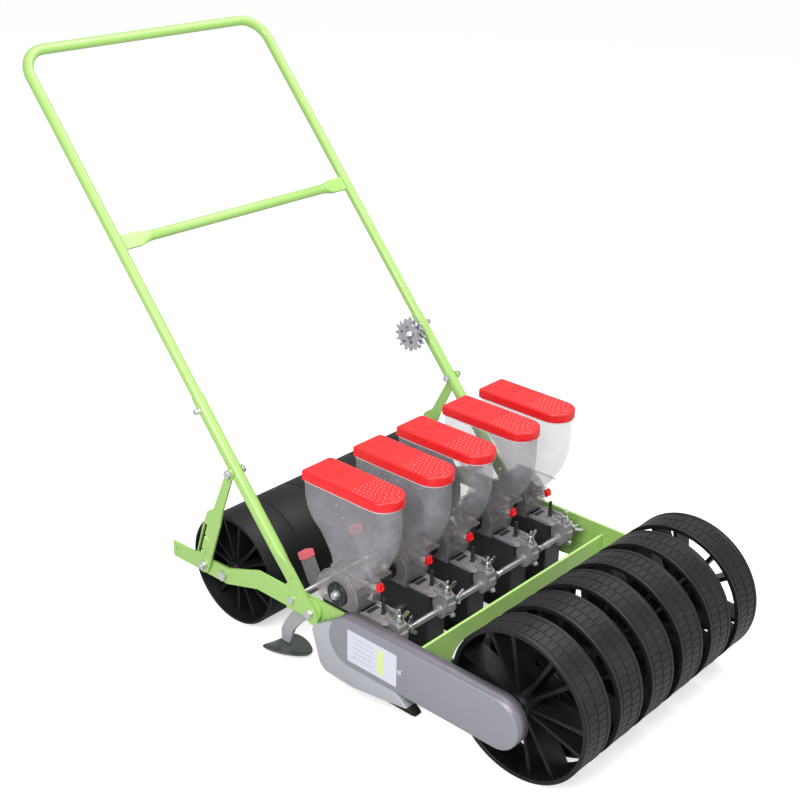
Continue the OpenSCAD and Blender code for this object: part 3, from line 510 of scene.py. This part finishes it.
def add_lid(i, u):
    shape = Shape()
    rings = []
    for grow, z in ((0, LID_LOW), (0, LID_TOP - 3.2), (-0.4, LID_TOP - 1.6),
                    (-1.4, LID_TOP - 0.5), (-3.0, LID_TOP), (-5.5, LID_TOP)):
        rings.append([(x, y, z) for x, y in lid_outline(u, grow)])
    for grow, z in ((-5.5, LID_TOP - 2.2), (-2.4, LID_TOP - 3.4), (-2.2, LID_LOW)):
        rings.append([(x, y, z) for x, y in lid_outline(u, grow)])
    top = rings[5]
    shape.skin(rings[:6], cap=False)
    shape.bm.faces.new([shape.vert(*p) for p in top])
    shape.skin(rings[6:], cap=False)
    shape.bm.faces.new([shape.vert(*p) for p in rings[6]])
    shape.skin([rings[0], rings[8]], cap=False)
    bmesh.ops.remove_doubles(shape.bm, verts=shape.bm.verts, dist=1e-6)
    studs, stud_shadows = Shape(), Shape()
    for row in range(9):
        y = LID_FRONT + 9 + row * 8.2
        reach = 28 if y > LID_FRONT + 36 else math.sqrt(28.5 ** 2 - (LID_FRONT + 36 - y) ** 2)
        count = int(2 * reach / 8)
        for k in range(count + 1):
            x = u + (k - count / 2) * 8
            dome(studs, x, y + (k % 2) * 2.6, LID_TOP, 1.7, 1.3)
            # A thin dark red disc under each stud, set off towards its rear right side: painted shadow of the
            # stud.
            stud_shadows.slab(arc((x + 1.2, y + (k % 2) * 2.6 + 0.8), 2.9, 0, 330, 11), LID_TOP - 0.2, LID_TOP + 0.12)
    # The studs take the lighter red: painted highlight on each stud.
    studs.finish(f"lid_studs_{i}", stud_highlight_red, f"lid_cap_{i}", "red_plastic", replaces=(f"lid_{i}",), smooth=60)
    stud_shadows.finish(f"lid_stud_shadows_{i}", stud_shadow_red, f"lid_cap_{i}", "red_plastic", replaces=(f"lid_{i}",))
    raised_frame(shape, u - 20, u - 2, LID_REAR - 62, LID_REAR - 40, LID_TOP)
    raised_frame(shape, u + 3, u + 21, LID_REAR - 58, LID_REAR - 44, LID_TOP)
    raised_frame(shape, u - 16, u + 16, LID_REAR - 26, LID_REAR - 18, LID_TOP, width=1.2)
    for side in (-1, 1):
        shape.rod(u + side * 8, u + side * 13, (LID_REAR + 3, LID_LOW + 3), 3.2, 20)
        shape.box(u + min(side * 8, side * 13), u + max(side * 8, side * 13), LID_REAR - 1, LID_REAR + 2.5,
                  LID_LOW + 1, LID_LOW + 7)
    shape.rod(u - 8.5, u + 8.5, (LID_REAR + 3, LID_LOW + 3), 1.4, 12)
    shape.finish(f"lid_cap_{i}", lid_red, f"lid_cap_{i}", "red_plastic", replaces=(f"lid_{i}",), smooth=40)


HOPPER_STEPS = [  # height, front, rear, half width, rear corner radius
    (382.3, 257.6, 438.4, 31.7, 5),
    (345, 257.6, 438.3, 31.7, 6),
    (330, 257.6, 436.2, 31.7, 7),
    (320, 257.7, 433.8, 31.6, 8),
    (310, 258.3, 429, 31.2, 9),
    (301, 259.2, 424, 30.7, 10),
    (287, 263, 409, 29.8, 11),
    (273, 267.3, 399, 28.8, 10),
    (260, 274, 392, 27.2, 9),
    (249, 280.3, 387, 26, 8),
    (238, 288.5, 383, 24.8, 6),
    (230.5, 294.8, 381.2, 24.4, 4),
]


def hopper_ring(u, z, front, rear, half, corner):
    """A D-shaped section: round front, rear corners of the given radius."""
    depth = min(half, (rear - front) * 0.5)
    ring = [(u + half * x, front + depth + depth * y, z) for x, y in arc((0, 0), 1, 180, 360, 24)]
    ring += [(x, y, z) for x, y in arc((u + half - corner, rear - corner), corner, 0, 90, 6)]
    ring += [(x, y, z) for x, y in arc((u - half + corner, rear - corner), corner, 90, 180, 6)]
    return ring


def add_hopper(i, u):
    shape = Shape()
    shape.skin([hopper_ring(u, *step) for step in HOPPER_STEPS], cap=False)
    shape.finish(f"hopper_shell_{i}", hopper_clear, "frame", "clear_plastic", replaces=(f"hopper_{i}",),
                 smooth=60)
    # A whitish band round the hopper under the lid: painted highlight on its edge.
    rim = Shape()
    rim.skin([hopper_ring(u, z, 257.5 - out, 438.5 + out, 31.8 + out, 6)
              for z, out in ((366.4, 0), (366.8, 0.9), (369.4, 0.9), (369.8, 0))], cap=False)
    rim.finish(f"hopper_rim_highlight_{i}", rim_clear, "frame", "clear_plastic", replaces=(f"hopper_{i}",), smooth=60)
    knuckle = Shape()
    knuckle.rod(u - 7, u + 7, (LID_REAR + 3, LID_LOW + 3), 3.2, 20)
    knuckle.box(u - 6.5, u + 6.5, LID_REAR - 5, LID_REAR + 1, LID_LOW + 0.5, LID_LOW + 5.5)
    knuckle.finish(f"hopper_knuckle_{i}", rim_clear, "frame", "clear_plastic", replaces=(f"hopper_{i}",),
                   bevel=0.5)


for number, place in enumerate(UNITS, start=1):
    add_lid(number, place)
    add_hopper(number, place)

# ---- Housings, clamps and openers ----

HOUSING_R = 45.0
DECK_Z = 157.0
NECK_Z = 230.0
SPOUT_END = 68.0
CHUTE_HALF = 9.5
CORNERS = ((-1, -1), (1, -1), (1, 1), (-1, 1))


def case_outline(radius, base):
    """Side view of the round metering case, cut off flat at its base."""
    drop = math.degrees(math.asin((base - ROLLER_Z) / radius))
    return arc((ROLLER_Y, ROLLER_Z), radius, drop, 180 - drop, 44)


def towards(outline, radius):
    """Each point of an outline moved onto a circle round the roller's axis."""
    moved = []
    for y, z in outline:
        reach = math.hypot(y - ROLLER_Y, z - ROLLER_Z)
        moved.append((ROLLER_Y + (y - ROLLER_Y) * radius / reach, ROLLER_Z + (z - ROLLER_Z) * radius / reach))
    return moved


def ring_plate(shape, outer, inner, x0, x1):
    """A plate between x0 and x1 with a hole; both outlines have as many points."""
    shape.skin([[(x, y, z) for y, z in line] for line, x in
                ((outer, x0), (outer, x1), (inner, x1), (inner, x0))], loop=True)


SPOUT_LEAN = Matrix.Translation((0, ROLLER_Y, ROLLER_Z + 12)) @ Matrix.Rotation(math.radians(-14), 4, "X")


def add_housing(i, u):
    shape = Shape()
    outer, inner = case_outline(HOUSING_R, DECK_Z + 0.2), case_outline(HOUSING_R - 2.4, DECK_Z + 0.4)
    ring_plate(shape, outer, inner, u - 28, u + 28)
    ring_plate(shape, case_outline(HOUSING_R - 2.5, DECK_Z + 0.4), towards(inner, 22.2), u - 28, u - 25.8)
    ring_plate(shape, case_outline(HOUSING_R - 2.5, DECK_Z + 0.4), towards(inner, 5.6), u + 25.8, u + 28)
    for x in (u - 28.6, u + 27.4):
        ring_plate(shape, case_outline(HOUSING_R + 1.6, DECK_Z + 0.2),
                   case_outline(HOUSING_R - 0.5, DECK_Z + 0.3), x, x + 1.2)
    for turn in (20, 75, 130, 165):
        place = Matrix.Translation((0, ROLLER_Y, ROLLER_Z)) @ Matrix.Rotation(math.radians(turn), 4, "X")
        shape.place = place
        shape.box(u - 27, u + 27, 44.5, 47.2, -0.9, 0.9)
    shape.place = Matrix.Identity(4)
    for side in (-1, 1):
        x0, x1 = sorted((u + side * 19.5, u + side * 28))
        shape.box(x0, x1, 320, 404, DECK_Z + 0.3, DECK_Z + 2.6)
    neck = []
    for inset in (0, 2.2):
        levels = [(24.4 - inset, 327 + inset, 396 - inset, 198),
                  (24.4 - inset, 316 + inset, 391 - inset, 209),
                  (24.4 - inset, 295.5 + 1.3 * inset, 380.8 - inset, NECK_Z)]
        for half, y0, y1, z in levels if inset == 0 else reversed(levels):
            neck.append([(u - half, y0, z), (u + half, y0, z), (u + half, y1, z), (u - half, y1, z)])
    shape.skin(neck, loop=True)
    collar = []
    for half, y0, y1, z in ((26, 293.5, 382.5, NECK_Z - 4), (26, 293.5, 382.5, NECK_Z),
                            (24.5, 295, 381, NECK_Z), (24.5, 295, 381, NECK_Z - 4)):
        collar.append([(u - half, y0, z), (u + half, y0, z), (u + half, y1, z), (u - half, y1, z)])
    shape.skin(collar, loop=True)
    shape.finish(f"housing_case_{i}", case_clear, "frame", "clear_plastic", replaces=(f"housing_{i}",),
                 bevel=0.5, segments=1, smooth=40)
    spout = Shape()
    spout.place = SPOUT_LEAN
    half, wall = 9.5, 1.8
    walls = []
    for size, y in ((half, -34), (half, -SPOUT_END), (half - wall, -SPOUT_END), (half - wall, -34)):
        walls.append([(u + dx * size, y, dz * size) for dx, dz in CORNERS])
    spout.skin(walls, loop=True)
    spout.box(u - 11, u + 11, -38, -36, -11, 11)
    spout.place = Matrix.Identity(4)
    spout.prism([(395, 162), (446, 150), (454, 156), (475, 199), (460, 206), (440, 168), (404, 184)],
                u - CHUTE_HALF, u + CHUTE_HALF)
    spout.finish(f"housing_spouts_{i}", case_clear, "frame", "clear_plastic", replaces=(f"housing_{i}",),
                 bevel=0.6)


def add_seed_roller(i, u):
    """Grooved seed drum, black cap with a bright cone, and the cap's finger ribs."""
    body = f"seed_drum_{i}"
    drum = Shape()
    centre = (ROLLER_Y, ROLLER_Z)
    profile = [(u - 25, 5), (u - 25, 29), (u - 24, 30)]
    for k in range(7):
        x = u - 18 + k * 5
        profile += [(x, 30), (x + 0.6, 28.6), (x + 2.2, 28.6), (x + 2.8, 30)]
    profile += [(u + 24, 30), (u + 25, 29), (u + 25, 5)]
    drum.spun(profile, 56, centre)
    drum.finish(f"seed_drum_body_{i}", roller_grey, body, "roller_plastic", replaces=(f"seed_roller_{i}",))
    cap = Shape()
    cap.spun([(u - 25.5, 6), (u - 25.5, 21.4), (u - 29, 21.6), (u - 30.6, 20.8), (u - 31, 19.6),
              (u - 29.2, 17.6), (u - 28.6, 13), (u - 29.5, 9), (u - 34, 8), (u - 34, 6)], 48, centre)
    for k in range(8):
        turn = Matrix.Rotation(math.radians(45 * k), 4, "X")
        cap.place = Matrix.Translation((0, ROLLER_Y, ROLLER_Z)) @ turn
        cap.box(u - 30.2, u - 28, 11, 19, -0.9, 0.9)
    cap.place = Matrix.Identity(4)
    cap.finish(f"seed_drum_cap_{i}", cap_black, body, "roller_plastic", replaces=(f"seed_roller_{i}",),
               bevel=0.3)
    cone = Shape()
    cone.spun([(u - 28, 0.5), (u - 28, 9.5), (u - 31, 9.5), (u - 38, 6.5), (u - 39, 5.5), (u - 39, 0.5)],
              24, centre)
    cone.rod(u - 28, u + 31, centre, 4.6, 24)
    cone.finish(f"seed_drum_cone_{i}", brass if i > 1 else steel, body, "bright_steel",
                replaces=(f"seed_roller_{i}",), smooth=30)


def add_brush_knob(i, u):
    knob = Shape()
    knob.place = SPOUT_LEAN
    half = 6.5
    rings = []
    for size, out in ((half - 1.2, 0.4), (half, 1.2), (half, 6.6), (half - 1.2, 8.3), (half - 2.8, 8.3),
                      (half - 3.4, 6.8)):
        y = -SPOUT_END - out
        rings.append([(u + dx * size, y, dz * size) for dx, dz in CORNERS])
    knob.skin(rings)
    knob.finish(f"brush_knob_head_{i}", knob_red, f"brush_{i}", "red_plastic", replaces=(f"brush_knob_{i}",),
                bevel=0.5)
    stem = Shape()
    stem.place = SPOUT_LEAN
    stem.skin([[(u + a, y, b) for a, b in arc((0, 0), r, 0, 345, 23)]
               for r, y in ((5, -SPOUT_END - 0.5), (5, -56), (3, -54), (3, -42), (5.5, -41), (5.5, -38))])
    stem.finish(f"brush_stem_{i}", rim_clear, f"brush_{i}", "red_plastic", replaces=(f"brush_knob_{i}",),
                bevel=0.3)


def add_cap(i, u):
    cap = Shape()
    cap.place = Matrix.Translation((0, 467.5, 202.6)) @ Matrix.Rotation(math.radians(-25), 4, "X")
    half, deep = CHUTE_HALF + 1, 9.3
    rings = []
    for inset, z in ((0.6, -7), (0, -6.4), (0, 5), (0.6, 6.3), (2, 6.9), (3.4, 6.9), (3.9, 6.3)):
        rings.append([(u + dx * (half - inset), dy * (deep - inset), z) for dx, dy in CORNERS])
    cap.skin(rings)
    cap.finish(f"chute_cap_{i}", cap_pink, "frame", "pink_plastic", replaces=("chute_caps",), bevel=0.8)


def wing_nut(shape, base):
    """A wing nut on a stud along local +X from base, as one more part of a shape."""
    shape.place = base
    shape.rod(0, 20, (0, 0), 2.6, 16, 0.5)
    shape.spun([(1, 2.4), (1, 6.8), (2, 7.2), (8, 4.8), (9.5, 4.4), (9.5, 2.4)], 20)
    for side in (-1, 1):
        wing = [(3, 4.5), (9, 4), (11.5, 7), (16.5, 10.5), (18, 14), (15.8, 16.6), (11.5, 15.6),
                (6, 10.5), (2, 7)]
        rings = []
        for t in (-1.1, 1.1):
            rings.append([(x, side * y, t) for x, y in wing])
        shape.skin(rings)
    shape.place = Matrix.Identity(4)


def add_clamp(i, u):
    """Deck and cast clamp of one unit, its pin, screws and wing nuts."""
    deck = Shape()
    deck.slab([(u - 23, 270), (u - 17, 262), (u + 17, 262), (u + 23, 270), (u + 23, 318), (u - 23, 318)],
              DECK_Z + 0.2, DECK_Z + 4)
    for side in (-1, 1):
        x0, x1 = sorted((u + side * 20.5, u + side * 23))
        deck.box(x0, x1, 270, 318, DECK_Z + 3, DECK_Z + 7)
    deck.box(u - 20, u + 20, 301, 303.4, DECK_Z + 3, DECK_Z + 6.5)
    deck.slab(arc((u, 286), 8, 0, 330, 11), DECK_Z + 3, DECK_Z + 7)
    deck.prism([(262, 158), (300, 158), (300, 163), (290, 170), (270, 170)], u + 12, u + 15)
    deck.finish(f"deck_{i}", deck_grey, "frame", "cast_metal", replaces=("rod_clamps",), bevel=0.9)
    # The thin dark plate on the deck behind the pin stands in for the dark slot opening: painted shade. The
    # round pin is the pin's own dark colour.
    slot = Shape()
    slot.box(u - 13, u + 13, 306, 315, DECK_Z + 2.5, DECK_Z + 4.4)
    slot.slab(arc((u - 0.5, 286), 3.3, 0, 345, 23), DECK_Z + 6, DECK_Z + 37)
    slot.slab(arc((u - 0.5, 286), 4.6, 0, 300, 5), DECK_Z + 6, DECK_Z + 10)
    slot.finish(f"deck_pin_and_slot_shade_{i}", pin_grey, "frame", "cast_metal", replaces=("rod_clamps",), bevel=0.5)
    cast = Shape()
    cast.prism([(240, 146), (244, 126), (250, 119), (262, 117), (270, 124), (273, 140), (273, 156.5),
                (266, 160), (263, 164), (246, 165), (241, 160)], u - 13, u + 8)
    cast.prism([(243, 142), (248, 124), (262, 121), (270, 130), (271, 150), (260, 158), (246, 156)],
               u + 8, u + 15)
    cast.rod(u - 16, u + 16, (258, 133), 11, 32, 1.5)
    cast.rod(u - 19, u - 14, (258, 133), 8.5, 24, 1)
    cast.slab(arc((u - 1, 251), 8, 0, 345, 23), 160, 169)
    cast.slab([(u - 11, 238), (u - 3, 234), (u + 6, 236), (u + 9, 244), (u - 11, 246)], 136, 150)
    cast.slab([(u - 8, 262), (u - 4, 262), (u - 4, 276), (u - 8, 276)], 160, 166)
    cast.slab([(u + 4, 262), (u + 8, 262), (u + 8, 276), (u + 4, 276)], 160, 166)
    cast.finish(f"rod_clamp_{i}", cast_grey, "frame", "cast_metal", replaces=("rod_clamps",), bevel=1.8,
                segments=3)
    nuts = Shape()
    wing_nut(nuts, Matrix.Translation((u - 1, 251, 168)) @ Matrix.Rotation(math.radians(-90), 4, "Y")
             @ Matrix.Rotation(math.radians(25 + 17 * i), 4, "X"))
    wing_nut(nuts, Matrix.Translation((u + 15, 246, 146))
             @ Matrix.Rotation(math.radians(40 + 31 * i), 4, "X"))
    nuts.place = Matrix.Translation((u - 2, 242, 128)) @ Matrix.Rotation(math.radians(-90), 4, "Z")
    nuts.rod(-2, 7, (0, 0), 5.2, 20, 1)
    nuts.rod(6.5, 10, (0, 0), 3.0, 6, 0.4)
    nuts.place = Matrix.Identity(4)
    nuts.finish(f"clamp_nuts_{i}", bright, "frame", "bright_steel", replaces=("wing_nuts",), bevel=0.35,
                segments=1)


def add_opener(i, u):
    box = Shape()
    side = [(275, DECK_Z), (275, 60), (279, 44), (393, 44), (404, 72), (404, DECK_Z)]
    inner = [(278.5, DECK_Z), (278.5, 62), (281, 47), (391, 47), (401, 73), (401, DECK_Z)]
    for x0, x1 in ((u - 23, u - 20), (u + 20, u + 23)):
        box.prism(side, x0, x1)
    ring_plate(box, side, inner, u - 20.2, u + 20.2)
    for x0, x1 in ((u - 24.4, u - 22.8), (u + 22.8, u + 24.4)):
        box.prism([(275, DECK_Z - 1), (275, DECK_Z - 7), (404, DECK_Z - 7), (404, DECK_Z - 1)], x0, x1)
        box.prism([(320, DECK_Z - 6), (316, 60), (322, 60), (326, DECK_Z - 6)], x0, x1)
    box.finish(f"opener_box_{i}", shoe_black, "frame", "black_plastic", replaces=("openers",), bevel=1.2)
    shoe = Shape()
    nose = [(268, 47), (236, 30), (208, 8), (205, 3), (212, 1)]
    wall = nose + [(372, 1), (384, 47)]
    shoe.prism(wall, u - 8, u - 4.5)
    shoe.prism(wall, u + 4.5, u + 8)
    shoe.prism(nose + [(262, 1), (300, 47)], u - 4.6, u + 4.6)
    shoe.finish(f"opener_shoe_{i}", blade_dark, "frame", "black_plastic", replaces=("openers",), bevel=0.8)


for number, place in enumerate(UNITS, start=1):
    add_housing(number, place)
    add_seed_roller(number, place)
    add_brush_knob(number, place)
    add_cap(number, place)
    add_clamp(number, place)
    add_opener(number, place)

# ---- Chain cover ----

COVER_FACE = -303.5
COVER_BACK = -276.5
COVER_R = 44.0


def cover_case(radius):
    """Side view of the raised case: round at the front axle and at the drive shaft."""
    return arc((0, WHEEL_R), radius, 90, 270, 24) + arc((305, 129), radius, -90, 90, 24)


def add_chain_cover():
    case = Shape()
    edge_r = 2.5
    rings = [[(COVER_BACK, y, z) for y, z in cover_case(COVER_R)]]
    for turn in range(0, 91, 15):
        a = math.radians(turn)
        radius = COVER_R - edge_r * (1 - math.cos(a))
        rings.append([(COVER_FACE + edge_r * (1 - math.sin(a)), y, z) for y, z in cover_case(radius)])
    case.skin(rings[1:], cap=False)
    case.face(rings[-1])
    case.finish("cover_case", cover_grey, "frame", "grey_paint", replaces=("chain_cover",), smooth=50)
    # The case's side wall takes the darker copy of the cover grey: painted shade.
    band = Shape()
    band.skin(rings[:2], cap=False)
    band.finish("cover_band", cover_side_shade, "frame", "grey_paint", replaces=("chain_cover",), smooth=50,
                solid=1.4)
    skirt = Shape()
    outline = rounded([(222, 92), (180, 58), (299, 40), (367, 42), (379, 53), (397, 112), (389, 123),
                       (355, 144), (330, 152), (222, 112)], 5)
    rings = [[(x, y, z) for y, z in shrunk(outline, part)]
             for x, part in ((COVER_BACK, 0), (-294.6, 0), (-295.6, 0.008), (-296, 0.022))]
    skirt.skin(rings, cap=False)
    skirt.face(rings[-1])
    skirt.finish("cover_skirt", skirt_grey, "frame", "grey_paint", replaces=("chain_cover",), smooth=50,
                 solid=1.4)
    bars = [(248, 298 - 9 * (k % 2), 108 + 9 * k, 111 + 9 * k) for k in range(5)]
    for name, material, patches, out in (("cover_label", label_white, [(197, 305, 97, 157)], 0.3),
                                         ("cover_label_stripe", label_lime, [(225, 239, 104, 150)], 0.4),
                                         ("cover_label_bars", label_grey, bars, 0.4)):
        shape = Shape()
        for y0, y1, z0, z1 in patches:
            outline = rounded([(y0, z0), (y1, z0), (y1, z1), (y0, z1)], 2.5)
            shape.prism(outline, COVER_FACE + 0.2, COVER_FACE - out)
        shape.finish(name, material, "frame", "grey_paint", replaces=("chain_cover",))


add_chain_cover()

# ---- Cross bar and coverer blade ----

def add_cross_bar():
    """Upright flat bar whose ends widen downwards into long gussets."""
    reach, flat, low, under, high = 268.5, 165, 64, 103, 136
    curve = under - low
    outline = [(-reach, low)] + arc((curve - flat, low), curve, 180, 90, 16)
    outline += arc((flat - curve, low), curve, 90, 0, 16) + [(reach, low), (reach, high), (-reach, high)]
    shape = Shape()
    shape.skin([[(x, y, z) for x, z in outline] for y in (200, 205)])
    # The cross bar takes the lighter copy of the lime paint: painted light.
    shape.finish("cross_bar", lit_bar_paint, "frame", "green_paint", replaces=("front_cross_bar",), bevel=0.7)


def add_blade():
    """Dished leaf of the coverer."""
    leaf = [(-55, 531), (-53, 509), (-47, 490), (-39, 474), (-29, 459), (-17, 449), (-6, 449), (4, 459),
            (12, 476), (16, 495), (14, 512), (4, 519), (-30, 523)]
    outline = rounded([(UNITS[0] + x, y) for x, y in leaf], 9)
    blade = Shape()
    levels = ((0.04, 10), (0, 12.4), (0.02, 13.8), (0.08, 13.4), (0.3, 11.6), (0.65, 10.6))
    blade.skin([[(x, y, z) for x, y in shrunk(outline, part)] for part, z in levels])
    blade.finish("leaf_blade", blade_steel, body_of["coverer_blade"], slot_of["coverer_blade"],
                 replaces=("coverer_blade",), smooth=60)


# ---- Parts that keep their CAD shape ----

for name in (
        "side_plate_left", "side_plate_right", "rear_arm_left", "rear_arm_right", "brace_left",
        "brace_right", "lower_tube_left", "lower_tube_right", "handle_crossbar"):
    soften(name, paint, 0.7)
for name in ("frame_bolts", "handle_bolts", "brace_bolts", "rear_axle", "front_axle", "axle_bushes"):
    soften(name, bright, 0.5)
soften("coverer_bracket", pale_cast, 1.2)

add_cross_bar()
add_blade()
